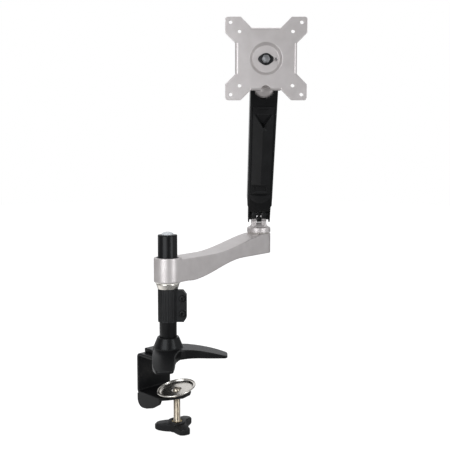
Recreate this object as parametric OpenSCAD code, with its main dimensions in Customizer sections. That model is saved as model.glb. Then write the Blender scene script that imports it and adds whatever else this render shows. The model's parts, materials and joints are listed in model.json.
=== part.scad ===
// Desk-clamp monitor arm: a post that telescopes, a swivelling cast lower arm, a sprung lifting
// upper arm and a tilting VESA plate. Millimetres. The origin is on the post's axis in the plane
// of the desk top, +Z is up and the clamp opens towards -Y.

/* [Clamp] */
// Width of the steel clamp bracket
bracket_w = 60; // [56:1:64]
// Thickness of the bracket's steel
bracket_t = 4; // [3:0.5:5]
// Distance from the post axis to the bracket's rear face
bracket_back = 35.5; // [34:0.5:40]
// Depth of the jaw's top face under the desk plane
jaw_z = 50.8; // [50:0.1:80]
// Distance of the clamp screw in front of the post axis
screw_y = 18.3; // [17:0.1:20]
// Nominal radius of the clamp screw's thread
screw_r = 5; // [4:0.5:5]
// Radius of the pressure disc
disc_r = 28.5; // [24:0.5:30]
// Lean of the pressure disc on its ball
disc_lean = 12; // [0:1:14]
// Reach of the knob's lobes
knob_r = 32; // [28:1:36]

/* [Foot and post] */
// Reach of the foot's toes from the post axis
toe_reach = 86; // [75:1:95]
// Outside radius of the fixed inner tube
inner_tube_r = 12.5; // [12:0.5:13]
// Outside radius of the moving outer tube
outer_tube_r = 14; // [13.9:0.1:14.5]
// Height of the outer tube's top edge
post_top = 178.5; // [160:0.5:220]

/* [Arms] */
// Distance between the pivots of the lower arm
lower_len = 234; // [200:1:260]
// Direction of the lower arm, counter-clockwise from +X
lower_az = 8.2; // [-20:0.1:30]
// Distance between the pivots of the upper arm
upper_len = 234; // [220:1:260]
// Direction of the upper arm, counter-clockwise from +X
upper_az = 225; // [180:1:270]
// Angle of the upper arm above the horizontal
upper_elev = 56; // [30:1:60]
// Radius of the round ends of the lower arm
hub_r = 20; // [19:0.5:22]
// Outside width of the upper arm
upper_w = 41; // [40:1:46]

/* [Head] */
// Side of the square that the plate fits in
plate_side = 115.5; // [112:0.5:120]
// Hole spacing of the larger screw square
vesa_large = 100; // [100:1:100]
// Hole spacing of the smaller screw square
vesa_small = 75; // [75:1:75]
// Radius of the screen screw holes
vesa_hole_r = 2.5; // [2.2:0.1:2.8]

/* [Hidden] */
$fn = 64;
fit = 0.05;            // radial running clearance
gap = 0.3;             // clearance between faces that move past each other
eps = 0.5;             // overlap of cutting bodies past the faces they cut

// clamp
pad_t = 1.5;           // rubber pad under the foot
flange_top = pad_t + bracket_t;
jaw_t = bracket_t;
lip_r = 12;            // corner of the bracket's side lips
lip_deep = 23.5;
insert_r = 8;
ball_r = 5.5;
ball_z = -45.4;
disc_floor = 0.1;      // underside of the disc's floor above its ball's middle
disc_lean_az = 165;    // direction that the disc leans in
knob_top = -91;
knob_h = 12;
knob_az = 135;         // direction of the first lobe

// foot and post
boss_top = 30.5;
boss_r = 15.5;
boss_foot_r = 23;
toe_az = 45;
tube_base = 8;
inner_top = 150;
sleeve_bottom = 53;
sleeve_top = 100.6;
sleeve_r = 14.5;
ear_reach = 27;
ear_half = 7;
slit_half = 1;
lock_z = [65, 87];
lock_x = 21.5;
collar_top = 109.4;
collar_r = 16.8;
washer_top = 110.5;

// lower arm
hub_bottom = 110.8;
hub_top = 146;
elbow_bottom = 130;
elbow_top = 163.8;
hub_bore_r = 16;
elbow_bore_r = 10;
shaft_r = 8;
arm_wall = 4;
elbow_x = lower_len * cos(lower_az);
elbow_y = lower_len * sin(lower_az);

// elbow knuckle and linkage, heights above the desk plane
collar_z = 164.8;
knuckle_z = 174.5;
lift_z = 197;
cheek_out = 12.5;
cheek_in = 4.5;
cheek_r = 12;
axle_r = 4;
pin_r = 2;
lift_mid = upper_elev - 33;   // elevation in the middle of the lift's travel
spring_arm = 10;              // distance of the spring's lower pin from the lift pivot
link_arm = 9;                 // distance of the levelling link from the pivots

// upper arm, along its own x axis from the lift pivot, z across its depth
ear_r = 15;
wall_y = upper_w / 2 - 4;
neck_y = 18.5;
top_z = 21;
under_z = -17;
floor_from = 15.5;     // where the shell's underside begins
keel_z = -25;
keel_from = 52;
keel_to = 213;
head_open = 208;
spring_z = -9.2;
cylinder_from = 78;
cylinder_to = 172;
cylinder_r = 7;
cylinder_pin_x = 184;

// head, from the upper pivot: x forwards, y to the right, z up
bowl_r = 14.6;
bowl_half = 13.7;
bowl_crown = 22;       // half-width at which the crowned bowl would close
swivel_x = 9;
swivel_z = 18;
yoke_base = 19;
tilt_x = 20;
tilt_z = 36;
tilt_half = 11;
plate_x = 52;          // front face of the plate
plate_t = 2.5;
dish_r = 24;
dish_deep = 5;
flange_deep = 8;
tab = 22;              // length of a corner tab's straight edges
core = 43.75;          // half the side of the plate's middle square

head_x = elbow_x + upper_len * cos(upper_elev) * cos(upper_az);
head_y = elbow_y + upper_len * cos(upper_elev) * sin(upper_az);
head_z = lift_z + upper_len * sin(upper_elev);

// ---- frames of the moving groups ----
module at_screw() { translate([0, -screw_y, 0]) children(); }
module at_lower() { rotate([0, 0, lower_az]) children(); }
module at_elbow() { translate([elbow_x, elbow_y, 0]) rotate([0, 0, upper_az]) children(); }
module at_lift() { translate([0, 0, lift_z]) children(); }
module at_upper() { at_elbow() at_lift() rotate([0, -upper_elev, 0]) children(); }
module at_head() { translate([head_x, head_y, head_z]) rotate([0, 0, upper_az]) children(); }
module at_disc() {
    at_screw() translate([0, 0, ball_z]) rotate([0, 0, disc_lean_az])
        rotate([0, disc_lean, 0]) rotate([0, 0, -disc_lean_az]) children();
}

// ---- shared shapes ----
function arc(cx, cy, r, from, to, steps = 6) =
    [for (i = [0:steps]) let (a = from + (to - from) * i / steps) [cx + r * cos(a), cy + r * sin(a)]];
function ease(t) = let (u = max(0, min(1, t))) u * u * (3 - 2 * u);
function round_box(x0, y0, x1, y1, r) = concat(
    arc(x1 - r, y1 - r, r, 0, 90), arc(x0 + r, y1 - r, r, 90, 180),
    arc(x0 + r, y0 + r, r, 180, 270), arc(x1 - r, y0 + r, r, 270, 360));

module ring(r_out, r_in, z0, z1) {
    difference() {
        translate([0, 0, z0]) cylinder(r = r_out, h = z1 - z0);
        translate([0, 0, z0 - eps]) cylinder(r = r_in, h = z1 - z0 + 2 * eps);
    }
}
module rod_z(r, z0, z1) { translate([0, 0, z0]) cylinder(r = r, h = z1 - z0); }
module rod_y(r, y0, y1) { translate([0, y1, 0]) rotate([90, 0, 0]) cylinder(r = r, h = y1 - y0); }
module rod_x(r, x0, x1) { translate([x0, 0, 0]) rotate([0, 90, 0]) cylinder(r = r, h = x1 - x0); }
module ring_y(r_out, r_in, y0, y1) {
    difference() {
        rod_y(r_out, y0, y1);
        rod_y(r_in, y0 - eps, y1 + eps);
    }
}
module ring_x(r_out, r_in, x0, x1) {
    difference() {
        rod_x(r_out, x0, x1);
        rod_x(r_in, x0 - eps, x1 + eps);
    }
}
module block(lo, hi) { translate(lo) cube(hi - lo); }
// a side view in x and z, given its thickness along y
module side_view(points, width) {
    rotate([90, 0, 0]) linear_extrude(width, center = true) polygon(points);
}
// a cross-section in y and z, run along x
module section_along(points, x0, x1) {
    translate([x0, 0, 0]) rotate([90, 0, 90]) linear_extrude(x1 - x0) polygon(points);
}
// a socket-head screw standing on z = 0 with its head above
module cap_screw(r, length) {
    difference() {
        union() {
            rod_z(r, -length, 0);
            rod_z(1.7 * r, 0, 2 * r);
        }
        rod_z_hex(0.8 * r, r, 2 * r + eps);
    }
}
module rod_z_hex(r, z0, z1) { translate([0, 0, z0]) cylinder(r = r, h = z1 - z0, $fn = 6); }

// ---- foot ----
// height of the toe's top face at a distance from the post
function toe_top(u) = 15 - 10 * pow(max(0, u - 18) / (toe_reach - 20), 1.7);
// outline of one toe: x along it, y towards its outer side
function toe_outline() = concat(
    [[0, 19], [25, 20], [45, 18.6], [60, 17], [72, 14.6]],
    arc(toe_reach - 7, 4.5, 7, 55, 0, 3),
    arc(toe_reach - 5, -9, 5, 0, -90, 4),
    [[60, -14.4], [46, -13.8], [36, -14.5], [26, -17], [15, -22], [0, -24]]);
module toe(side) {
    mirror([side > 0 ? 0 : 1, 0, 0]) rotate([0, 0, -toe_az]) intersection() {
        translate([0, 0, 0.8]) linear_extrude(20) polygon(toe_outline());
        side_view(concat([[-1, 0], [toe_reach + 1, 0]],
            [for (i = [10:-1:0]) let (u = toe_reach * i / 10) [u + (i == 10 ? 1 : i == 0 ? -1 : 0),
                toe_top(u)]]), 60);
    }
}
module bracket_screw_places() {
    for (sx = [-1, 1]) for (y = [-4, 24]) translate([sx * 14 * (y > 0 ? 1 : 1.45), y, 0]) children();
}
module foot_casting() {
    color("#1c1c1e") difference() {
        union() {
            toe(1);
            toe(-1);
            block([-19.5, -8, flange_top], [19.5, 31, 11.5]);
            rod_z(boss_foot_r + 1, 2, 12);
            translate([0, 0, 12]) cylinder(r1 = boss_foot_r, r2 = boss_r, h = boss_top - 12);
        }
        rod_z(inner_tube_r, tube_base, boss_top + eps);
        // seat of the bracket's flange, and of the pad under it
        block([-bracket_w / 2 - gap, -13, -1], [bracket_w / 2 + gap, 40, flange_top]);
        block([-60, -100, -1], [60, 40, pad_t]);
        bracket_screw_places() rod_z(2.5, 0, 10);
        // grub screw behind
        translate([0, 0, 21]) rotate([-90, 0, 0]) rod_z(3, 0, 30);
    }
}
module desk_pad() {
    color("#101011") difference() {
        union() {
            for (s = [0, 1]) mirror([s, 0, 0]) rotate([0, 0, -toe_az])
                linear_extrude(pad_t) polygon(concat([[0, 14], [30, 15.5], [58, 13]],
                    arc(toe_reach - 12, 2, 6, 60, -60, 4), [[55, -7], [35, -7.5], [12, -19], [0, -18]]));
            block([-bracket_w / 2 + 3, -12, 0], [bracket_w / 2 - 3, 26, pad_t]);
        }
        bracket_screw_places() rod_z(4.9, -1, 2);
    }
}

// ---- clamp bracket ----
function jaw_front() = [for (i = [-8:8]) let (x = bracket_w / 2 * i / 8) [x, -28 + 14 * pow(x / 30, 2)]];
module bracket_channel() {
    in = bracket_back - bracket_t;
    bend = 6;
    side_view(concat(
        arc(-(-bracket_back + bend), flange_top - bend, bend, 0, 90),
        [[-13 + 0.5, flange_top], [-13 + 0.5, pad_t], [in - 2, pad_t]],
        arc(in - 2, pad_t - 2, 2, 90, 0, 3),
        arc(in - 2, -jaw_z + 2, 2, 0, -90, 3),
        [[-40, -jaw_z], [-40, -jaw_z - jaw_t]],
        arc(bracket_back - bend, -jaw_z - jaw_t + bend, bend, -90, 0)), 2 * bracket_w);
}
module clamp_bracket() {
    lip_low = -jaw_z - lip_deep;
    color("#18181a") difference() {
        union() {
            intersection() {
                rotate([0, 0, 90]) bracket_channel();
                union() {
                    translate([0, 0, -jaw_z - 20]) linear_extrude(22)
                        polygon(concat(jaw_front(), [[bracket_w / 2, 60], [-bracket_w / 2, 60]]));
                    block([-bracket_w / 2, -60, -jaw_z + 1], [bracket_w / 2, 60, 30]);
                }
            }
            for (s = [-1, 1]) translate([s * (bracket_w / 2 - bracket_t / 2), 0, 0]) bracket_lip(lip_low);
        }
        at_screw() rod_z(insert_r, -jaw_z - 10, -jaw_z + 5);
        bracket_screw_places() {
            rod_z(2.6, -1, 8);
            translate([0, 0, pad_t - 0.01]) cylinder(r1 = 4.8, r2 = 2.6, h = 2.4);
        }
    }
}
module bracket_lip(low) {
    rotate([0, 0, 90]) side_view(concat(
        arc(bracket_back - lip_r, low + lip_r, lip_r, 0, -90, 8),
        [[14, low + 1], [0, low + 5.2], [-14, -jaw_z - 10]], [[-17, -jaw_z - jaw_t + 0.5],
        [bracket_back, -jaw_z - jaw_t + 0.5]]), bracket_t);
}
module bracket_screws() {
    color("#3a3a3d") bracket_screw_places() difference() {
        union() {
            translate([0, 0, pad_t + 0.1]) cylinder(r1 = 4.7, r2 = 2.5, h = 2.3);
            rod_z(2.45, 3, 9.8);
        }
        rod_z_hex(1.6, 0, 3);
    }
}
module jaw_insert() {
    color("#9a9a9a") at_screw() difference() {
        rod_z(insert_r, -jaw_z - jaw_t - 1, -jaw_z + 0.3);
        rod_z(screw_r + fit, -jaw_z - 10, -jaw_z + 5);
        rod_z(insert_r - 1.3, -jaw_z - 1.2, -jaw_z + 5);
    }
}

// ---- fixed tube ----
module inner_tube() {
    color("#1f1f21") ring(inner_tube_r, inner_tube_r - 2, tube_base, inner_top);
}
module post_set_screw() {
    color("#3a3a3d") translate([0, 0, 21]) rotate([-90, 0, 0]) difference() {
        rod_z(3, inner_tube_r + fit, 18.6);
        rod_z_hex(1.5, 16, 19);
    }
}

// ---- clamp screw, knob and disc ----
module clamp_screw() {
    color("#b9b2a4") at_screw() difference() {
        union() {
            rod_z(screw_r, knob_top - knob_h + 3, ball_z - 6);
            rod_z(3.4, ball_z - 7, ball_z);
            translate([0, 0, ball_z]) sphere(r = ball_r);
        }
        rod_z_hex(2, ball_z + 3, ball_z + 8);
    }
}
module knob_lobe(a) {
    rotate([0, 0, a]) {
        linear_extrude(knob_h - 2) polygon(concat([[0, 11], [9, 9.5]],
            arc(knob_r - 8, 0, 8, 78, -78, 8), [[9, -9.5], [0, -11]]));
        translate([0, 0, knob_h - 2.01]) linear_extrude(2) polygon(concat([[0, 9.5], [9, 8]],
            arc(knob_r - 8, 0, 6.6, 78, -78, 8), [[9, -8], [0, -9.5]]));
    }
}
module clamp_knob() {
    color("#151517") at_screw() translate([0, 0, knob_top - knob_h]) rotate([0, 0, knob_az]) difference() {
        union() {
            for (a = [0, 120, 240]) knob_lobe(a);
            rod_z(13, 0, knob_h + 1.5);
        }
        rod_z(7.5, 2, knob_h + 3);
    }
}
module knob_insert() {
    color("#8c8468") at_screw() ring(7.5, screw_r, knob_top - knob_h + 3, knob_top + 0.8);
}
module neck_washer() {
    color("#8a8a8c") at_screw() ring(6, 3.45, ball_z - 5.95, ball_z - 5.2);
}
module ball_seat() {
    color("#d8d4c8") at_disc() difference() {
        ring(7.6, ball_r - 1.6, -3, 0.4);
        sphere(r = ball_r + fit);
    }
}
module pressure_disc() {
    curl = 6;
    steel = 1.4;
    curl_r = disc_r - 8;
    curl_z = disc_floor + curl;
    color("#c9c6c0") at_disc() rotate_extrude() polygon(concat(
        [[7.9, -3], [9.6, -3], [9.6, disc_floor]],
        arc(curl_r, curl_z, curl, -90, -25, 5),
        arc(disc_r - 1, disc_floor + 4.3, 1, -50, 180, 6),
        arc(curl_r, curl_z, curl - steel, -20, -90, 5),
        [[ball_r + 0.1, disc_floor + steel], [ball_r + 0.1, 0.5], [7.9, 0.5]]));
}

// ---- telescoping post ----
module outer_tube() {
    color("#1f1f21") ring(outer_tube_r, inner_tube_r + 0.7, 104, post_top - 1.6);
}
module tube_liner() {
    color("#e5e2d8") ring(inner_tube_r + 0.7, inner_tube_r + fit, 104.2, 140);
}
module post_cap() {
    color("#131315") difference() {
        union() {
            rod_z(outer_tube_r, post_top - 1.5, post_top);
            rod_z(inner_tube_r + 0.6, post_top - 6, post_top - 1.4);
        }
        rod_z(8.5, post_top - 4, post_top + 1);
    }
}
module cap_insert() {
    color("#d9dadb") translate([0, 0, post_top - 4]) intersection() {
        rod_z(8.4, 0, 9);
        translate([0, 0, -8]) sphere(r = 16.6);
    }
}
module ear_frame() { rotate([0, 0, -45]) children(); }
module lock_sleeve() {
    color("#1b1b1d") ear_frame() difference() {
        union() {
            rod_z(sleeve_r, sleeve_bottom, sleeve_top);
            rod_z(outer_tube_r - fit, sleeve_top - 1, 103.9);
            side_view([[8, sleeve_bottom], [ear_reach - 4, sleeve_bottom], [ear_reach, sleeve_bottom + 6],
                [ear_reach, 92], [ear_reach - 5, 98.5], [8, 98.5]], 2 * ear_half);
        }
        rod_z(inner_tube_r + fit, sleeve_bottom - 1, 105);
        block([0, -slit_half, sleeve_bottom - 1], [ear_reach + 1, slit_half, 99.5]);
        for (z = lock_z) translate([lock_x, 0, z]) {
            rod_y(2.6, -10, 10);
            rod_y(4.6, -10, -ear_half + 2.7);
            rotate([0, 30, 0]) rod_y_hex(4.7, ear_half - 2.5, 10);
        }
    }
}
module rod_y_hex(r, y0, y1) { translate([0, y1, 0]) rotate([90, 0, 0]) cylinder(r = r, h = y1 - y0, $fn = 6); }
module lock_screws() {
    color("#6a6a6c") ear_frame() for (z = lock_z) translate([lock_x, 0, z]) difference() {
        union() {
            rod_y(2.5, -ear_half + 2.6, ear_half + 1);
            rod_y(4.4, -ear_half - 2, -ear_half + 2.6);
        }
        rod_y_hex(2, -ear_half - 3, -ear_half + 0.5);
    }
}
module lock_nuts() {
    color("#77777a") ear_frame() for (z = lock_z) translate([lock_x, 0, z]) difference() {
        rotate([0, 30, 0]) rod_y_hex(4.5, ear_half - 2.4, ear_half + 1.2);
        rod_y(2.55, 0, 12);
    }
}
module chrome_collar() {
    color("#dcdcdc") rotate_extrude() polygon([[outer_tube_r + 0.02, 100.8], [outer_tube_r + 0.5, 100.8],
        [outer_tube_r + 1.1, 102.2], [collar_r, 107.4], [collar_r, 108.8], [collar_r - 0.6, collar_top],
        [outer_tube_r + 0.02, collar_top]]);
}
module hub_thrust_washer() {
    color("#efece2") ring(18.4, outer_tube_r + 0.05, collar_top, washer_top);
}

// ---- lower arm ----
// heights of the arm's under and upper edges at a distance from the post's axis
function low_edge(s) = hub_bottom - 1.2 * ease((s - 22) / 13)
    + (elbow_bottom - hub_bottom + 1.2) * ease((s - 30) / 130);
function high_edge(s) = let (low = hub_top - 2.4, t = max(0, min(1, (s - 85) / 135)))
    low + (elbow_top - low) * (ease(t) + pow(t, 1.5)) / 2;
module lower_arm_casting() {
    steps = 20;
    color("#b7b4b0") at_lower() difference() {
        union() {
            intersection() {
                side_view(concat(
                    [for (i = [0:steps]) let (s = lower_len * i / steps) [s, low_edge(s)]],
                    [for (i = [steps:-1:0]) let (s = lower_len * i / steps) [s, high_edge(s)]]), 60);
                block([0, -hub_r, 100], [lower_len, hub_r, 170]);
            }
            rod_z(hub_r, hub_bottom, hub_top);
            translate([lower_len, 0, 0]) rod_z(hub_r, elbow_bottom, elbow_top);
        }
        rod_z(hub_bore_r, hub_bottom - 3, hub_top + 1);
        translate([lower_len, 0, 0]) {
            rod_z(elbow_bore_r, elbow_bottom - 1, elbow_top + 1);
            rod_z(hub_r - 5, elbow_bottom - 1, elbow_bottom + 10);
        }
        lower_arm_pocket(steps);
    }
}
// the open pocket under the arm, between its two round ends
module lower_arm_pocket(steps) {
    intersection() {
        side_view(concat([[hub_r + 6, 90], [lower_len - hub_r - 4, 90]],
            [for (i = [steps - 2:-1:3]) let (s = lower_len * i / steps)
                [min(max(s, hub_r + 6), lower_len - hub_r - 4), high_edge(s) - arm_wall - 1]]), 60);
        block([hub_r + 6, -hub_r + arm_wall, 80], [lower_len - hub_r - 4, hub_r - arm_wall, 200]);
    }
}
module hub_bushes() {
    color("#e8e4d9") for (z = [hub_bottom, hub_top - 10]) ring(hub_bore_r, outer_tube_r + fit, z, z + 10);
}
module elbow_bushes() {
    color("#e8e4d9") at_lower() translate([lower_len, 0, 0]) for (z = [elbow_bottom + 10, elbow_top - 8])
        ring(elbow_bore_r, shaft_r + fit, z, z + 8);
}
module elbow_cap() {
    color("#8f8d8a") at_lower() translate([lower_len, 0, 0]) difference() {
        rod_z(hub_r - 5, elbow_bottom, elbow_bottom + 3);
        rod_z(hub_r - 7, elbow_bottom + 1.4, elbow_bottom + 4);
    }
}

// ---- elbow ----
module elbow_shaft() {
    color("#88888a") at_elbow() {
        rod_z(shaft_r, 140, knuckle_z - 3);
        rod_z(5, 132.5, 140.1);
    }
}
module elbow_disc_springs() {
    color("#707074") at_elbow() ring(11.5, 5.1, 137.2, 139.7);
}
module elbow_nut() {
    color("#a5a5a8") at_elbow() difference() {
        translate([0, 0, 132.6]) cylinder(r = 9.2, h = 4.5, $fn = 6);
        rod_z(5.02, 130, 140);
    }
}
module elbow_thrust_washer() {
    color("#efece2") at_elbow() ring(18.5, shaft_r + 0.1, elbow_top + 0.3, collar_z);
}
// a point at a distance from a pivot, square to the arm when the arm is half way down
function linkage(r) = [-r * sin(lift_mid), r * cos(lift_mid)];
module elbow_knuckle() {
    color("#b9b7b4") at_elbow() difference() {
        union() {
            rotate_extrude() polygon(concat([[0, collar_z], [hub_r - 0.8, collar_z], [hub_r, collar_z + 0.8]],
                arc(hub_r - 2.5, knuckle_z - 2.5, 2.5, 0, 90, 4), [[0, knuckle_z]]));
            side_view([[-cheek_r + 1, knuckle_z - 1], [cheek_r, knuckle_z - 1], [cheek_r, 184.5],
                [9.5, 187.5], [6, lift_z], [-cheek_r + 1, lift_z]], 2 * cheek_out);
            at_lift() rod_y(cheek_r, -cheek_out, cheek_out);
        }
        rod_z(shaft_r, collar_z - 1, knuckle_z - 2.9);
        block([-30, -cheek_in, 178.5], [30, cheek_in, 220]);
        at_lift() {
            rod_y(axle_r + fit, -20, 20);
            translate([linkage(link_arm)[0], 0, linkage(link_arm)[1]]) rod_y(pin_r, -20, 20);
            translate([-linkage(spring_arm)[0], 0, -linkage(spring_arm)[1]]) rod_y(pin_r, -20, 20);
        }
    }
}
module linkage_pins() {
    color("#c0c0c2") at_elbow() at_lift() {
        translate([linkage(link_arm)[0], 0, linkage(link_arm)[1]]) rod_y(pin_r, -cheek_out, cheek_out);
        translate([-linkage(spring_arm)[0], 0, -linkage(spring_arm)[1]])
            rod_y(pin_r, -cheek_out, cheek_out);
    }
}
// curved guard in front of the pivot
module pivot_shroud() {
    color("#17171a") at_elbow() at_lift() difference() {
        ring_y(13.5, cheek_r + 0.05, -cheek_out, cheek_out);
        block([-30, -30, -30], [1, 30, 30]);
        rotate([0, 40, 0]) block([0, -30, -30], [30, 30, 0]);
        block([0, -cheek_in, -30], [30, cheek_in, 30]);
    }
}

// ---- upper arm ----
function shell_section() = round_box(-upper_w / 2, under_z, upper_w / 2, top_z, 5);
module shell_body() {
    intersection() {
        section_along(shell_section(), -20, upper_len + 20);
        union() {
            rod_y(ear_r, -30, 30);
            translate([upper_len, 0, 0]) rod_y(ear_r, -30, 30);
            side_view([[0, -ear_r], [floor_from, -16], [40, under_z], [upper_len - 30, under_z],
                [upper_len, -ear_r], [upper_len, ear_r], [upper_len - 34, top_z], [42, top_z],
                [0, ear_r]], 60);
        }
    }
}
module upper_arm_shell() {
    color("#0f0f10") at_upper() difference() {
        shell_body();
        // hollow, and the openings at both ends for the knuckles
        block([floor_from, -wall_y, -14.2], [upper_len + 20, wall_y, top_z - 3]);
        block([-20, -wall_y, -30], [floor_from + 0.01, wall_y, 14.2]);
        block([-20, -wall_y, -30], [4, wall_y, 30]);
        block([head_open, -wall_y, 0], [upper_len + 20, wall_y, 30]);
        // the upper end is cut back in a curve between the ears
        translate([0, 0, -30]) linear_extrude(60) polygon(concat(
            [for (i = [-6:6]) let (y = wall_y * i / 6) [upper_len - 8 + 0.045 * y * y, y]],
            [[upper_len + 20, wall_y], [upper_len + 20, -wall_y]]));
        // seat of the keel cover
        block([keel_from, -wall_y, -30], [keel_to, wall_y, -10]);
        // the neck is narrower beside the elbow
        for (s = [-1, 1]) scale([1, s, 1]) block([-20, neck_y, -30], [26, 30, 30]);
        rod_y(axle_r, -30, 30);
        translate([upper_len, 0, 0]) rod_y(axle_r, -30, 30);
        translate([cylinder_pin_x, 0, spring_z]) rod_y(3, -18.5, 18.5);
    }
}
module keel_cover() {
    lip_z = -14.4;
    half = wall_y - 0.15;
    color("#121213") at_upper() difference() {
        union() {
            // vee-shaped keel with chamfered ends
            intersection() {
                section_along([[-half, lip_z], [-half, under_z + 0.5], [0, keel_z], [half, under_z + 0.5],
                    [half, lip_z]], 72, 199);
                side_view([[72, under_z - 0.5], [77, keel_z - 1], [178, keel_z - 1], [199, under_z - 0.5],
                    [199, -10], [72, -10]], 60);
            }
            section_along([[-half, lip_z], [-half, under_z], [half, under_z], [half, lip_z]],
                keel_from + 0.2, keel_to - 0.2);
        }
        section_along([[-half + 2, lip_z + 1], [-half + 2, under_z + 2], [0, keel_z + 2.4],
            [half - 2, under_z + 2], [half - 2, lip_z + 1]], 76, 176);
        // thumb notch and the latch recess
        translate([181, 0, keel_z - 4]) rotate([0, 0, 45]) block([0, 0, 0], [20, 20, 7.2]);
        block([200, -9, under_z - 1], [209, 9, under_z + 1]);
        block([keel_from + 4, -9.5, under_z - 1], [68, 9.5, under_z + 1.2]);
    }
}
module lower_end_cover() {
    // a shallow bulge whose lower end is a curve across the arm
    bulge = [for (i = [-6:6]) [wall_y * i / 6, under_z - 0.02 - 2.2 * cos(15 * i)]];
    color("#131314") at_upper() intersection() {
        section_along(bulge, 30, keel_from - 1);
        translate([keel_from + 4, 0, 0]) rod_z(20, -40, 0);
    }
}
module lift_axle() {
    color("#a9a9ab") at_upper() rod_y(axle_r, -neck_y, neck_y);
}
module head_axle() {
    color("#a9a9ab") at_upper() translate([upper_len, 0, 0]) rod_y(axle_r, -upper_w / 2, upper_w / 2);
}
module lift_friction_washers() {
    color("#cfcabc") at_upper() for (s = [-1, 1]) for (x = [0, upper_len])
        translate([x, 0, 0]) ring_y_between(x == 0 ? cheek_out : bowl_half, s);
}
module ring_y_between(inner, s) {
    ring_y(10.5, axle_r + 0.05, s > 0 ? inner + 0.15 : -wall_y, s > 0 ? wall_y : -inner - 0.15);
}
module gas_cylinder() {
    color("#232326") at_upper() translate([0, 0, spring_z]) difference() {
        union() {
            rod_x(cylinder_r, cylinder_from, cylinder_to);
            rod_x(3.5, cylinder_to - 1, cylinder_pin_x - 2);
            translate([cylinder_pin_x, 0, 0]) rod_y(4.8, -4, 4);
        }
        rod_x(5.6, cylinder_from + 4, cylinder_to - 5);
        rod_x(2.55, cylinder_from - 1, cylinder_from + 5);
        translate([cylinder_pin_x, 0, 0]) rod_y(3.05, -5, 5);
    }
}
module cylinder_pin() {
    color("#a9a9ab") at_upper() translate([cylinder_pin_x, 0, spring_z]) rod_y(3, -18.4, 18.4);
}
module gas_rod() {
    eye_x = -spring_arm * sin(upper_elev - lift_mid);
    color("#d6d6d8") at_upper() translate([0, 0, spring_z]) difference() {
        union() {
            rod_x(2.5, eye_x + 3, cylinder_from + 30);
            rod_x(5.4, cylinder_from + 22, cylinder_from + 28);
            translate([eye_x, 0, 0]) rod_y(4.6, -3.8, 3.8);
        }
        translate([eye_x, 0, 0]) rod_y(3.4, -5, 5);
    }
}
module level_link() {
    swing = upper_elev - lift_mid;
    color("#46464a") at_upper() translate([-link_arm * sin(-swing), 0, link_arm * cos(swing)]) difference() {
        union() {
            rod_y(4, -3, 3);
            translate([upper_len, 0, 0]) rod_y(4, -3, 3);
            block([0, -3, -2.5], [upper_len, 3, 2.5]);
        }
        rod_y(pin_r + fit, -10, 10);
        translate([upper_len, 0, 0]) rod_y(pin_r + gap, -10, 10);
    }
}

// ---- head ----
module crowned_bowl() {
    rotate([90, 0, 0]) rotate_extrude() polygon(concat([[0, -bowl_half]],
        [for (i = [-8:8]) let (y = bowl_half * i / 8) [bowl_r * sqrt(1 - pow(y / bowl_crown, 2)), y]],
        [[0, bowl_half]]));
}
module head_knuckle() {
    color("#b9b7b4") at_head() difference() {
        union() {
            crowned_bowl();
            translate([swivel_x, 0, 0]) rod_z(12, 0, swivel_z);
        }
        rod_y(axle_r + fit, -20, 20);
        block([-20, -cheek_in, -20], [2.2, cheek_in, 13.8]);
        translate([linkage(link_arm)[0], 0, linkage(link_arm)[1]]) rod_y(pin_r, -20, 20);
        translate([swivel_x, 0, 0]) rod_z(4, -2, swivel_z + 1);
    }
}
module head_link_pin() {
    color("#c0c0c2") at_head() translate([linkage(link_arm)[0], 0, linkage(link_arm)[1]])
        rod_y(pin_r, -bowl_half, bowl_half);
}
module swivel_washer() {
    color("#efece2") at_head() translate([swivel_x, 0, 0]) ring(13.5, 4.1, swivel_z, yoke_base - 0.2);
}
module head_yoke() {
    color("#a9a7a4") at_head() difference() {
        union() {
            translate([swivel_x, 0, 0]) rod_z(15, yoke_base, 24.5);
            for (s = [-1, 1]) translate([0, s * (tilt_half + 2.3), 0]) {
                translate([tilt_x, 0, tilt_z]) rod_y(9.8, -2, 2);
                side_view([[4, 20], [22, 20], [tilt_x + 9.8, tilt_z], [tilt_x - 9.8, tilt_z], [4, 26]], 4);
            }
        }
        translate([swivel_x, 0, 0]) rod_z(4.05, 10, 40);
        translate([tilt_x, 0, tilt_z]) rod_y(4, -20, 20);
    }
}
module swivel_bolt() {
    color("#8d8d90") at_head() translate([swivel_x, 0, 0]) {
        rod_z(3.98, -1, 24.6);
        difference() {
            rod_z(6.4, 24.6, 26.2);
            rod_z_hex(3, 25.4, 27);
        }
    }
}
module tilt_bolt() {
    color("#8d8d90") at_head() translate([tilt_x, 0, tilt_z]) {
        rod_y(4, -tilt_half - 4.3, tilt_half + 8.6);
        difference() {
            rod_y(6.6, -tilt_half - 8.3, -tilt_half - 4.3);
            rod_y_hex(3, -25, -tilt_half - 6);
        }
    }
}
module tilt_nut() {
    color("#9a9a9d") at_head() translate([tilt_x, 0, tilt_z]) difference() {
        rod_y_hex(7.5, tilt_half + 4.4, tilt_half + 8.4);
        rod_y(4.02, 0, 40);
    }
}
module tilt_washers() {
    color("#cfcabc") at_head() translate([tilt_x, 0, tilt_z]) for (s = [0, 1]) mirror([0, s, 0])
        ring_y(9, 4.02, tilt_half - 0.6, tilt_half + 0.3);
}
module tilt_block() {
    color("#1a1a1c") at_head() difference() {
        union() {
            translate([tilt_x, 0, tilt_z]) rod_y(9.4, -tilt_half + 0.8, tilt_half - 0.8);
            translate([0, 0, tilt_z]) rod_x(9, tilt_x, 32);
            translate([0, 0, tilt_z]) rod_x(13, 31, 43);
        }
        translate([tilt_x, 0, tilt_z]) rod_y(4 + fit, -20, 20);
        translate([0, 0, tilt_z]) rod_x(4, 29, 44);
    }
}
module rotate_bolt() {
    color("#9a9a9d") at_head() translate([0, 0, tilt_z]) rod_x(3.98, 29.2, 51.2);
}
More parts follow.
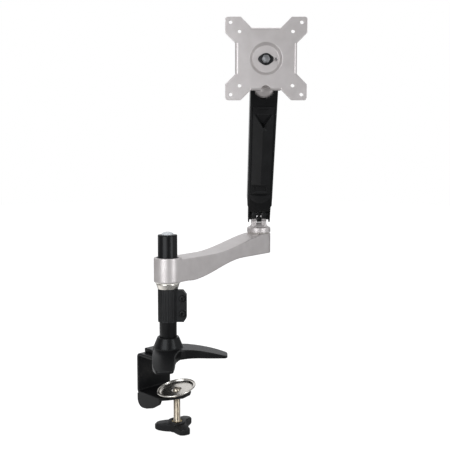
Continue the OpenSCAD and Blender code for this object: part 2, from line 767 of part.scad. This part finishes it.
module rotate_rear_washer() {
    color("#cfcabc") at_head() translate([0, 0, tilt_z]) ring_x(12.5, 4.1, 43, plate_x - dish_deep - plate_t - 0.1);
}
module rotate_front_washer() {
    color("#1a1a1c") at_head() translate([0, 0, tilt_z])
        ring_x(8.5, 4.1, plate_x - dish_deep + 0.1, plate_x - dish_deep + 1.2);
}
module rotate_nut() {
    color("#8c8c8f") at_head() translate([0, 0, tilt_z]) difference() {
        rotate([90, 0, 90]) translate([0, 0, plate_x - dish_deep + 1.2]) cylinder(r = 6, h = 3.2, $fn = 6);
        rod_x(4, 40, 60);
    }
}
function plate_outline() = let (o = plate_side / 2, r = 3.5, m = o - tab, k = core)
    [for (q = [0:3]) for (p = concat([[k, -m + (o - k)], [k, m - (o - k)], [o, m]],
        arc(o - r, o - r, r, 0, 90, 4), [[m, o], [m - (o - k), k]]))
        [p[0] * cos(90 * q) - p[1] * sin(90 * q), p[0] * sin(90 * q) + p[1] * cos(90 * q)]];
module plate_frame() { at_head() translate([plate_x, 0, tilt_z]) rotate([90, 0, 90]) children(); }
module vesa_plate() {
    edge = core - (plate_side / 2 - core) - (core - (plate_side / 2 - tab));
    color("#bdbbb8") plate_frame() difference() {
        union() {
            translate([0, 0, -plate_t]) linear_extrude(plate_t) polygon(plate_outline());
            rod_z(dish_r, -dish_deep - plate_t, 0);
            // returned edges of the middle square
            for (q = [0, 1, 2, 3]) rotate([0, 0, 90 * q])
                block([core - plate_t, -21, -flange_deep], [core, 21, 0]);
        }
        translate([0, 0, -dish_deep]) cylinder(r1 = dish_r - 5, r2 = dish_r - 1, h = dish_deep + 0.01);
        rod_z(4 + fit, -20, 1);
        for (side = [vesa_large, vesa_small]) for (sx = [-1, 1]) for (sy = [-1, 1])
            translate([sx * side / 2, sy * side / 2, 0]) rod_z(vesa_hole_r, -10, 1);
        // stop hole beside the middle, and the half-round notch in the lower edge
        translate([14.2, 0, 0]) rod_z(2.2, -20, 1);
        translate([0, -core - 1, 0]) rod_z(7.5, -20, 1);
    }
}

desk_pad();
foot_casting();
clamp_bracket();
bracket_screws();
jaw_insert();
inner_tube();
post_set_screw();
clamp_screw();
clamp_knob();
knob_insert();
neck_washer();
ball_seat();
pressure_disc();
outer_tube();
tube_liner();
post_cap();
cap_insert();
lock_sleeve();
lock_screws();
lock_nuts();
chrome_collar();
hub_thrust_washer();
lower_arm_casting();
hub_bushes();
elbow_bushes();
elbow_cap();
elbow_knuckle();
elbow_shaft();
elbow_nut();
elbow_disc_springs();
elbow_thrust_washer();
pivot_shroud();
linkage_pins();
upper_arm_shell();
keel_cover();
lower_end_cover();
lift_axle();
head_axle();
lift_friction_washers();
gas_cylinder();
cylinder_pin();
gas_rod();
level_link();
head_knuckle();
head_link_pin();
swivel_washer();
head_yoke();
swivel_bolt();
tilt_bolt();
tilt_nut();
tilt_block();
tilt_washers();
rotate_bolt();
rotate_rear_washer();
rotate_front_washer();
rotate_nut();
vesa_plate();
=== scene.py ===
import json
import math

import bmesh
import bpy
from mathutils import Matrix, Vector


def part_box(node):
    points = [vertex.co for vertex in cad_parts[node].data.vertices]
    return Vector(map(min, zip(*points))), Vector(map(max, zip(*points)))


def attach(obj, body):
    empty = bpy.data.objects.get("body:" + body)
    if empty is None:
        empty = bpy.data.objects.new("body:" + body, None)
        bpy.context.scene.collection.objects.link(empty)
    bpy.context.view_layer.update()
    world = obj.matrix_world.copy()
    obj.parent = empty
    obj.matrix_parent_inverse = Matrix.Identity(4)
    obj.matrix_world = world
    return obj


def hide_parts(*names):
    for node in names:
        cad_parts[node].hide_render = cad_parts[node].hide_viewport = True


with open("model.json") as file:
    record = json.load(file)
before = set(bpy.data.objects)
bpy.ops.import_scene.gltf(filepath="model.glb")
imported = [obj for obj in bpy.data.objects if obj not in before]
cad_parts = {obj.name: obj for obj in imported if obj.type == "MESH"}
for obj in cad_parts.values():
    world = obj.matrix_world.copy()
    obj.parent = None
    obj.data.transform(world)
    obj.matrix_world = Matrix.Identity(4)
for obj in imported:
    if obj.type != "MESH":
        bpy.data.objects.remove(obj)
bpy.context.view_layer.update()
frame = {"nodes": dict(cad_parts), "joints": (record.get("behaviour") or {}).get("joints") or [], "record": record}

MM = 0.001
RECORD = frame["record"]
JOINTS = {j["name"]: j for j in frame["joints"]}
BODY_OF = {n: b for b, nodes in RECORD["behaviour"]["bodies"].items() for n in nodes}
SLOT_OF = {p["node"]: p["material_slot"] for p in RECORD["subparts"]}
UP = Vector((0, 0, 1))


# ---- frames of the moving groups ----
def axes_at(origin, forward):
    """A frame at origin with x along forward, y level, and z as near up as it can be."""
    x = forward.normalized()
    y = UP.cross(x).normalized()
    z = x.cross(y)
    turn = Matrix((x, y, z)).transposed().to_4x4()
    return Matrix.Translation(origin) @ turn


def pivot(joint):
    return Vector(JOINTS[joint]["pos_m"])


def middle(node):
    low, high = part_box(node)
    return (low + high) / 2


def flat(v):
    return Vector((v.x, v.y, 0))


ORIGIN = Vector((0, 0, 0))
FORWARD = flat(Vector(JOINTS["plate_rotate"]["axis"]))
POST = Matrix.Identity(4)
SCREW = axes_at(flat(pivot("screw_spin")), Vector((1, 0, 0)))
EARS = axes_at(ORIGIN, flat(middle("lock_screws")))
LOWER = axes_at(ORIGIN, flat(pivot("elbow_swivel")))
ELBOW = axes_at(flat(pivot("elbow_swivel")), FORWARD)
UPPER = axes_at(pivot("arm_lift"), pivot("head_level") - pivot("arm_lift"))
HEAD = axes_at(pivot("head_level"), FORWARD)
PLATE = axes_at(pivot("plate_rotate"), FORWARD)
WASHER = (
    Matrix.Translation(middle("rotate_front_washer"))
    @ PLATE.to_3x3().to_4x4()
    @ Matrix.Rotation(math.pi / 2, 4, "Y")
)
DISC_LEAN = math.radians(12)     # how far the disc lies over on its ball at rest
DISC = (
    Matrix.Translation(pivot("disc_tilt"))
    @ Matrix.Rotation(-DISC_LEAN, 4, Vector(JOINTS["disc_tilt"]["axis"]))
)


# ---- materials ----
NOISE_LOW, NOISE_HIGH = 0.3, 0.7     # the part of a noise's range that most of it lies in
CLOUD_DETAIL, FINE_DETAIL = 4.0, 2.0
COAT_ROUGHNESS = 0.2


def shader(name):
    mat = bpy.data.materials.new(name)
    mat.use_nodes = True
    nodes = mat.node_tree.nodes
    nodes.clear()
    out = nodes.new("ShaderNodeOutputMaterial")
    bsdf = nodes.new("ShaderNodeBsdfPrincipled")
    mat.node_tree.links.new(bsdf.outputs["BSDF"], out.inputs["Surface"])
    return mat, bsdf


def noise(mat, scale, detail):
    """The factor of a noise in object space, its scale in features per metre."""
    nodes = mat.node_tree.nodes
    place = nodes.new("ShaderNodeTexCoord")
    tex = nodes.new("ShaderNodeTexNoise")
    tex.inputs["Scale"].default_value = scale
    tex.inputs["Detail"].default_value = detail
    mat.node_tree.links.new(place.outputs["Object"], tex.inputs["Vector"])
    return tex.outputs["Fac"]


def ramp(mat, factor, dark, light):
    """A colour between dark and light, picked by a noise."""
    node = mat.node_tree.nodes.new("ShaderNodeValToRGB")
    ends = node.color_ramp.elements
    for end, position, colour in ((ends[0], NOISE_LOW, dark), (ends[1], NOISE_HIGH, light)):
        end.position = position
        end.color = (*colour, 1)
    mat.node_tree.links.new(factor, node.inputs["Fac"])
    return node.outputs["Color"]


def map_range(tree, factor, start, end, low, high):
    """A value that runs from low to high as the factor runs from start to end."""
    node = tree.nodes.new("ShaderNodeMapRange")
    node.inputs["From Min"].default_value = start
    node.inputs["From Max"].default_value = end
    node.inputs["To Min"].default_value = low
    node.inputs["To Max"].default_value = high
    tree.links.new(factor, node.inputs["Value"])
    return node.outputs["Result"]


def bump(mat, bsdf, height, depth, previous=None):
    """Relief of a height texture, depth in metres, laid over an earlier relief if there is one."""
    node = mat.node_tree.nodes.new("ShaderNodeBump")
    node.inputs["Distance"].default_value = depth
    mat.node_tree.links.new(height, node.inputs["Height"])
    if previous is not None:
        mat.node_tree.links.new(previous, node.inputs["Normal"])
    mat.node_tree.links.new(node.outputs["Normal"], bsdf.inputs["Normal"])
    return node.outputs["Normal"]


def finish(name, dark, light, rough, metallic=0.0, cloud=60, fine=2500, grain=0.00001,
           peel=None, coat=0.0, specular=0.5):
    """A finish: clouded colour, fine grain in roughness and relief, and optional orange peel.

    cloud and fine are in features per metre, grain is a depth in metres, and peel is both.
    """
    mat, bsdf = shader(name)
    links = mat.node_tree.links
    clouds = noise(mat, cloud, CLOUD_DETAIL)
    grit = noise(mat, fine, FINE_DETAIL)
    roughness = map_range(mat.node_tree, grit, NOISE_LOW, NOISE_HIGH, *rough)
    links.new(ramp(mat, clouds, dark, light), bsdf.inputs["Base Color"])
    links.new(roughness, bsdf.inputs["Roughness"])
    bsdf.inputs["Metallic"].default_value = metallic
    bsdf.inputs["Specular IOR Level"].default_value = specular
    bsdf.inputs["Coat Weight"].default_value = coat
    bsdf.inputs["Coat Roughness"].default_value = COAT_ROUGHNESS
    normal = None
    if peel:
        peel_scale, peel_depth = peel
        normal = bump(mat, bsdf, noise(mat, peel_scale, FINE_DETAIL), peel_depth)
    bump(mat, bsdf, grit, grain, normal)
    return mat


FINISHES = {
    "silver_paint": dict(dark=(0.57, 0.528, 0.515), light=(0.63, 0.588, 0.575), rough=(0.35, 0.45),
                         metallic=0.5, fine=4200, grain=0.00002, peel=(420, 0.00003), coat=0.1),
    "black_paint": dict(dark=(0.005, 0.005, 0.0052), light=(0.008, 0.008, 0.0084), rough=(0.26, 0.38),
                        fine=3200, grain=0.00002, peel=(700, 0.00005), specular=0.2),
    "black_plastic": dict(dark=(0.006, 0.006, 0.0063), light=(0.010, 0.010, 0.0104),
                          rough=(0.34, 0.48), fine=2600, grain=0.00005, specular=0.26),
    "chrome": dict(dark=(0.80, 0.76, 0.70), light=(0.88, 0.84, 0.78), rough=(0.20, 0.32),
                   metallic=1.0, fine=900, grain=0.000004),
    "zinc": dict(dark=(0.60, 0.53, 0.43), light=(0.74, 0.68, 0.58), rough=(0.28, 0.42),
                 metallic=1.0, cloud=220, fine=2600),
    "steel": dict(dark=(0.22, 0.22, 0.225), light=(0.32, 0.32, 0.325), rough=(0.40, 0.55),
                  metallic=1.0, cloud=180, fine=2600),
    "acetal": dict(dark=(0.74, 0.71, 0.64), light=(0.82, 0.80, 0.74), rough=(0.36, 0.48),
                   cloud=90, fine=2400),
    "rubber": dict(dark=(0.010, 0.010, 0.010), light=(0.020, 0.020, 0.019), rough=(0.75, 0.92),
                   fine=1800, grain=0.00008),
    "pale_cap": dict(dark=(0.55, 0.56, 0.57), light=(0.64, 0.65, 0.66), rough=(0.22, 0.32),
                     fine=2000),
    "brass": dict(dark=(0.50, 0.38, 0.17), light=(0.62, 0.49, 0.25), rough=(0.25, 0.4),
                  metallic=1.0, cloud=160, fine=2200),
}
MATERIALS = {name: finish(name, **look) for name, look in FINISHES.items()}


# ---- making pieces ----
WELD_REACH = 2e-6                      # corners nearer than this are one corner
SEAM_REACH = 1e-8                      # the same, where a turned profile closes on itself
FLAT_ANGLE = math.radians(0.3)         # facets nearer than this in angle are one face
SMOOTHING = 0.5                        # share of the way to its neighbours' middle, each round
BOSS_DIVISIONS = 4
EDGE_BREAK, EDGE_STEPS = 0.25 * MM, 2
EDGE_ANGLE = math.radians(40)          # edges sharper than this are broken
CAST_CREASE, CUT_CREASE = 60, 35       # degrees, past which shading shows an edge


def new_object(name, mesh):
    obj = bpy.data.objects.new(name, mesh)
    bpy.context.scene.collection.objects.link(obj)
    return obj


def local_copy(node, place):
    """A welded copy of a CAD node's mesh, in the axes of its group."""
    mesh = frame["nodes"][node].data.copy()
    mesh.transform(place.inverted())
    work = bmesh.new()
    work.from_mesh(mesh)
    bmesh.ops.remove_doubles(work, verts=work.verts, dist=WELD_REACH)
    bmesh.ops.dissolve_limit(work, angle_limit=FLAT_ANGLE, verts=work.verts, edges=work.edges,
                             delimit={"NORMAL"})
    work.to_mesh(mesh)
    work.free()
    mesh.materials.clear()
    return new_object("shape_" + node, mesh)


def modifier(obj, kind, **settings):
    added = obj.modifiers.new(kind.lower(), kind)
    for key, value in settings.items():
        setattr(added, key, value)


def applied(obj):
    """The mesh of obj with its modifiers applied; obj itself is removed."""
    graph = bpy.context.evaluated_depsgraph_get()
    mesh = bpy.data.meshes.new_from_object(obj.evaluated_get(graph))
    bpy.data.objects.remove(obj)
    return mesh


def settle(node, mesh, place, crease):
    """Makes the finished piece of a node: placed, shaded, painted and riding on its body."""
    mesh.transform(place)
    piece = new_object(node + ".look", mesh)
    mesh.materials.clear()
    mesh.materials.append(MATERIALS[SLOT_OF[node]])
    mesh.shade_smooth()
    mesh.set_sharp_from_angle(angle=math.radians(crease))
    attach(piece, BODY_OF[node])
    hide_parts(node)


def add_boss(mesh, centre, radii):
    """Adds an ellipsoid to a mesh, for the remesh to join to it; centre and radii in mm."""
    work = bmesh.new()
    work.from_mesh(mesh)
    swell = Matrix.Translation(Vector(centre) * MM) @ Matrix.Diagonal((*(Vector(radii) * MM), 1))
    bmesh.ops.create_icosphere(work, subdivisions=BOSS_DIVISIONS, radius=1, matrix=swell)
    work.to_mesh(mesh)
    work.free()


def cast(node, place, voxel, rounds, keep, shape, boss):
    """A casting or moulding: the CAD solid with every edge and inner corner rounded."""
    obj = local_copy(node, place)
    if boss:
        add_boss(obj.data, *boss)
    modifier(obj, "REMESH", mode="VOXEL", voxel_size=voxel * MM)
    modifier(obj, "SMOOTH", factor=SMOOTHING, iterations=rounds)
    if shape:
        obj = new_object("full_" + node, applied(obj))
        for vertex in obj.data.vertices:
            vertex.co = shape(vertex.co / MM) * MM
    modifier(obj, "DECIMATE", ratio=keep)
    settle(node, applied(obj), place, CAST_CREASE)


def machined(node):
    """A turned, pressed or cut piece: the CAD solid with its sharp edges broken."""
    obj = local_copy(node, POST)
    modifier(obj, "BEVEL", width=EDGE_BREAK, segments=EDGE_STEPS, limit_method="ANGLE",
             angle_limit=EDGE_ANGLE)
    settle(node, applied(obj), POST, CUT_CREASE)


def lathed(rows, steps):
    """A closed skin of rings round z, in mm: each row is a height, and a radius or its function."""
    work = bmesh.new()
    rings = []
    for height, radius in rows:
        ring = []
        for i in range(steps):
            turn = 2 * math.pi * i / steps
            r = radius(turn) if callable(radius) else radius
            ring.append(work.verts.new(Vector((r * math.cos(turn), r * math.sin(turn), height)) * MM))
        rings.append(ring)
    for low, high in zip(rings, rings[1:]):
        for i in range(steps):
            k = (i + 1) % steps
            work.faces.new((low[i], low[k], high[k], high[i]))
    if rows[0] == rows[-1]:
        bmesh.ops.remove_doubles(work, verts=work.verts, dist=SEAM_REACH)
    else:
        work.faces.new(reversed(rings[0]))
        work.faces.new(rings[-1])
    bmesh.ops.recalc_face_normals(work, faces=work.faces)
    mesh = bpy.data.meshes.new("lathed")
    work.to_mesh(mesh)
    work.free()
    return mesh


def curve(out, up, r, start, end, steps):
    """Rows of an arc in a turned profile: its middle out and up, angles in degrees from outward."""
    angles = [math.radians(start + (end - start) * i / steps) for i in range(steps + 1)]
    return [(up + r * math.sin(a), out + r * math.cos(a)) for a in angles]


# ---- camera, light and floor ----
SENSOR_WIDTH, LENS = 36, 52.4
CAMERA_PLACE = (-0.6015, -0.7179, 0.269)
CAMERA_HEADING, CAMERA_DIP = math.radians(45), 0.0819

ROOM_GLOW, PAPER_GLOW = 0.10, 0.85     # radiance of the dark room in front and of the paper behind
PAPER_SIDE = (0.35, 0.8, 0.5)
ROOM_END, PAPER_START = 0.3, 0.8       # dot products of a direction with PAPER_SIDE
PAPER_TINT = (0.97, 0.98, 1, 1)
WHITE = (1, 1, 1, 1)
LAMP_TINT = (0.94, 0.97, 1.0)
LAMPS = {
    "key": dict(where=(-0.95, -0.3, 0.4), towards=(0.1, 0, 0.2), size=(0.8, 1.0), watts=9.5),
    "front": dict(where=(0.2, -1.25, 0.35), towards=(0.1, 0, 0.25), size=(0.5, 0.9), watts=7),
    "side": dict(where=(1.0, -0.75, 0.35), towards=(0.1, 0, 0.2), size=(0.9, 1.2), watts=2),
    "top": dict(where=(0.15, 0.1, 1.3), towards=(0.1, 0, 0.2), size=(0.8, 0.8), watts=4),
}

FLOOR_HALF, FLOOR_CELLS, FLOOR_GAP = 6, 8, 0.0005
FLOOR_DARK, FLOOR_LIGHT, FLOOR_ROUGHNESS = (0.09, 0.09, 0.09), (0.12, 0.12, 0.12), 0.7
FLOOR_CLOUD, FLOOR_DETAIL = 3, 3.0
# the floor's own glow, brightest where a reflector card would lie, to the left of the clamp
CARD_PLACE, CARD_NEAR, CARD_FAR = (-0.15, 0.28, -0.1), 0.1, 0.42
CARD_GLOW, FLOOR_GLOW = 0.9, 0.12


def aim(obj, direction):
    obj.rotation_euler = direction.to_track_quat("-Z", "Y").to_euler()


def make_camera():
    data = bpy.data.cameras.new("camera")
    data.sensor_width = SENSOR_WIDTH
    data.lens = LENS
    camera = new_object("camera", data)
    camera.location = CAMERA_PLACE
    level = math.cos(CAMERA_DIP)
    aim(camera, Vector((level * math.cos(CAMERA_HEADING), level * math.sin(CAMERA_HEADING),
                        -math.sin(CAMERA_DIP))))
    bpy.context.scene.camera = camera


def area_light(name, where, towards, size, watts):
    data = bpy.data.lights.new(name, "AREA")
    data.shape = "RECTANGLE"
    data.size, data.size_y = size
    data.energy = watts
    data.color = LAMP_TINT
    lamp = new_object(name, data)
    lamp.location = where
    aim(lamp, Vector(towards) - Vector(where))


def make_studio():
    """White paper behind, a dark room in front, and soft boxes; the camera sees only white."""
    world = bpy.data.worlds.new("studio")
    bpy.context.scene.world = world
    world.use_nodes = True
    nodes, links = world.node_tree.nodes, world.node_tree.links
    nodes.clear()
    out = nodes.new("ShaderNodeOutputWorld")
    seen = nodes.new("ShaderNodeBackground")
    seen.inputs["Color"].default_value = WHITE
    glow = nodes.new("ShaderNodeBackground")
    glow.inputs["Color"].default_value = PAPER_TINT
    place = nodes.new("ShaderNodeTexCoord")
    facing = nodes.new("ShaderNodeVectorMath")
    facing.operation = "DOT_PRODUCT"
    facing.inputs[1].default_value = PAPER_SIDE
    links.new(place.outputs["Generated"], facing.inputs[0])
    strength = map_range(world.node_tree, facing.outputs["Value"], ROOM_END, PAPER_START,
                         ROOM_GLOW, PAPER_GLOW)
    links.new(strength, glow.inputs["Strength"])
    rays = nodes.new("ShaderNodeLightPath")
    mix = nodes.new("ShaderNodeMixShader")
    links.new(rays.outputs["Is Camera Ray"], mix.inputs["Fac"])
    links.new(glow.outputs["Background"], mix.inputs[1])
    links.new(seen.outputs["Background"], mix.inputs[2])
    links.new(mix.outputs["Shader"], out.inputs["Surface"])
    for name, lamp in LAMPS.items():
        area_light(name, **lamp)


def floor_material():
    """Grey to the arm's reflections, white to the camera, and glowing where the card would lie."""
    mat, bsdf = shader("floor")
    nodes, links = mat.node_tree.nodes, mat.node_tree.links
    clouds = noise(mat, FLOOR_CLOUD, FLOOR_DETAIL)
    links.new(ramp(mat, clouds, FLOOR_DARK, FLOOR_LIGHT), bsdf.inputs["Base Color"])
    bsdf.inputs["Roughness"].default_value = FLOOR_ROUGHNESS
    bsdf.inputs["Emission Color"].default_value = WHITE
    rays = nodes.new("ShaderNodeLightPath")
    where = nodes.new("ShaderNodeNewGeometry")
    apart = nodes.new("ShaderNodeVectorMath")
    apart.operation = "DISTANCE"
    apart.inputs[1].default_value = CARD_PLACE
    links.new(where.outputs["Position"], apart.inputs[0])
    card = map_range(mat.node_tree, apart.outputs["Value"], CARD_NEAR, CARD_FAR, CARD_GLOW, FLOOR_GLOW)
    brighter = nodes.new("ShaderNodeMath")
    brighter.operation = "MAXIMUM"
    links.new(card, brighter.inputs[0])
    links.new(rays.outputs["Is Camera Ray"], brighter.inputs[1])
    links.new(brighter.outputs["Value"], bsdf.inputs["Emission Strength"])
    return mat


def make_floor():
    mesh = bpy.data.meshes.new("floor")
    work = bmesh.new()
    bmesh.ops.create_grid(work, x_segments=FLOOR_CELLS, y_segments=FLOOR_CELLS, size=FLOOR_HALF)
    work.to_mesh(mesh)
    work.free()
    floor = new_object("floor", mesh)
    floor.location.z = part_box("clamp_knob")[0].z - FLOOR_GAP
    mesh.materials.append(floor_material())


# ---- shapes that the castings are worked into, each from a point in mm in its group's axes ----
def bent_edges(p):
    """Turns the square bends of the plate's middle into round ones. x is forwards."""
    radius, core, front = 4.5, 43.75, 5.0
    bend_end, fade = 22.0, 1.2
    for out, along in ((1, 2), (2, 1)):
        reach = abs(p[out]) - (core - radius)
        rise = p.x - (front - radius)
        hold = max(0.0, min(1.0, (bend_end - abs(p[along])) / fade))
        if reach > 0 and rise > 0 and hold > 0:
            pull = 1 - hold * (1 - max(reach, rise) / math.hypot(reach, rise))
            p[out] = math.copysign(core - radius + reach * pull, p[out])
            p.x = front - radius + rise * pull
    return p


def thin_lobes(p):
    """Thins the knob towards the tips of its lobes."""
    hub, lobe, thinning, mid_height = 13, 19, 0.42, -97
    past = max(0.0, math.hypot(p.x, p.y) - hub) / lobe
    p.z = mid_height + (p.z - mid_height) * (1 - thinning * past * past)
    return p


def flutes(p):
    """Shallow grip flutes up the lock sleeve, clear of its ears."""
    count, depth, ears_half_turn = 20, 0.5, 0.62
    inner, outer, low, high = 13.4, 14.7, 54, 100
    turn, r = math.atan2(p.y, p.x), math.hypot(p.x, p.y)
    if abs(turn) > ears_half_turn and inner < r < outer and low < p.z < high:
        r_new = r - depth * (0.5 + 0.5 * math.cos(count * turn)) ** 2
        return Vector((p.x * r_new / r, p.y * r_new / r, p.z))
    return p


def thumb_notch(p):
    """Sinks the pointed thumb notch and the latch recess in the cover under the arm."""
    notch_tip, notch_end, notch_slope = 181, 200, 0.66
    latch_start, latch_end, latch_half = 57, 67, 8.8
    sunk = -15.2
    in_notch = abs(p.y) < notch_slope * (p.x - notch_tip) and p.x < notch_end
    in_latch = latch_start < p.x < latch_end and abs(p.y) < latch_half
    if (in_notch or in_latch) and p.z < sunk:
        p.z = sunk
    return p


# ---- turned pieces, profiles in mm as rows of height and radius ----
def screw_thread(height):
    """Radius of the clamp screw's thread round the screw at a height."""
    pitch, root, depth, flank = 1.5, 4.15, 0.84, 1.25

    def radius(turn):
        phase = (height / pitch - turn / (2 * math.pi)) % 1
        return root + depth * min(1.0, flank * abs(2 * phase - 1))
    return radius


def clamp_screw():
    """A real thread from the knob up, then a plain neck and the ball that the disc leans on."""
    low, top, gap = -100, -51.4, 0.25
    neck, neck_top = 3.4, -50.1
    ball_height, ball = -45.4, 5.49
    heights = [low + gap * i for i in range(int((top - 1 - low) / gap))]
    rows = [(height, screw_thread(height)) for height in heights]
    rows += [(top - 0.9, 4.1), (top, 3.6), (top + 0.3, neck), (neck_top, neck)]
    return lathed(rows + curve(0, ball_height, ball, -50, 88, 24), steps=60)


def pressure_disc():
    """The pressed dish: a collar round the ball, a flat web, and a rolled rim."""
    collar_low, collar_in, collar_out = -2.9, 8.0, 9.6
    hole, under, top = 5.75, 0.5, 1.5
    bend_out, bend_up = 20.5, 6.1      # middle of the bend from web to rim, in both skins
    foot = [(collar_low, collar_in), (-2.98, 8.4)] + curve(9.2, -2.6, 0.38, -90, 0, 4)
    corner = [(-0.4, collar_out)] + curve(10.1, -0.4, 0.5, 180, 90, 4)
    underside = curve(bend_out, bend_up, 5.98, -90, -26, 14)
    rim = curve(27.5, 4.4, 0.99, -50, 180, 12)
    upper_side = curve(bend_out, bend_up, 4.6, -22, -90, 14)
    eased_hole = [(top, 8), (1.45, 6.2), (1.1, hole), (under, hole)]
    inside = [(under, 7.9), (collar_low, collar_in)]
    return lathed(foot + corner + underside + rim + upper_side + eased_hole + inside, steps=128)


def pointed_washer():
    """The washer under the plate's nut: round, with a point on either side and eased edges. It is a real washer,
    and its dark pointed outline also paints the shade inside the plate's centre hole.
    """
    disc, point, sharpness = 8.5, 2.6, 7
    bore, half = 4.2, 0.5

    def edge(inset):
        return lambda turn: disc + point * abs(math.sin(turn)) ** sharpness - inset
    rows = [(-half, bore), (-half, edge(0.3)), (-0.2, edge(0)), (0.3, edge(0)), (half, edge(0.4)),
            (half, bore), (-half, bore)]
    return lathed(rows, steps=96)


# ---- the pieces ----
# of each casting: its group's frame, voxel in mm, rounds of smoothing, share of faces kept, shape
CASTINGS = {
    "foot_casting": (POST, 0.8, 5, 0.4, None),
    "clamp_bracket": (POST, 0.55, 3, 0.3, None),
    "desk_pad": (POST, 0.5, 1, 0.3, None),
    "clamp_knob": (SCREW, 0.45, 3, 0.4, thin_lobes),
    "lower_arm_casting": (LOWER, 0.8, 7, 0.35, None),
    "elbow_knuckle": (ELBOW, 0.5, 3, 0.4, None),
    "upper_arm_shell": (UPPER, 0.6, 3, 0.3, None),
    "keel_cover": (UPPER, 0.45, 2, 0.4, thumb_notch),
    "head_knuckle": (HEAD, 0.45, 3, 0.4, None),
    "head_yoke": (HEAD, 0.45, 3, 0.4, None),
    "tilt_block": (HEAD, 0.45, 3, 0.4, None),
    "vesa_plate": (PLATE, 0.45, 2, 0.35, bent_edges),
    "lock_sleeve": (EARS, 0.35, 2, 0.4, flutes),
}
# a low dome between the elbow's cheeks: middle and radii in mm
BOSSES = {"elbow_knuckle": ((0, 0, 173), (16, 16, 9))}
# of each turned piece: its profile, its group's frame, and its crease in degrees
TURNED = {
    "clamp_screw": (clamp_screw, SCREW, 60),
    "pressure_disc": (pressure_disc, DISC, 50),
    # the washer is real, and its dark pointed outline is also painted shade for the plate's centre hole
    "rotate_front_washer": (pointed_washer, WASHER, 40),
}
for node, (place, voxel, rounds, keep, shape) in CASTINGS.items():
    cast(node, place, voxel, rounds, keep, shape, BOSSES.get(node))
for node, (turned, place, crease) in TURNED.items():
    settle(node, turned(), place, crease)
for node in frame["nodes"]:
    if node not in CASTINGS and node not in TURNED:
        machined(node)

make_camera()
make_studio()
make_floor()
bpy.context.scene.view_settings.view_transform = "Standard"
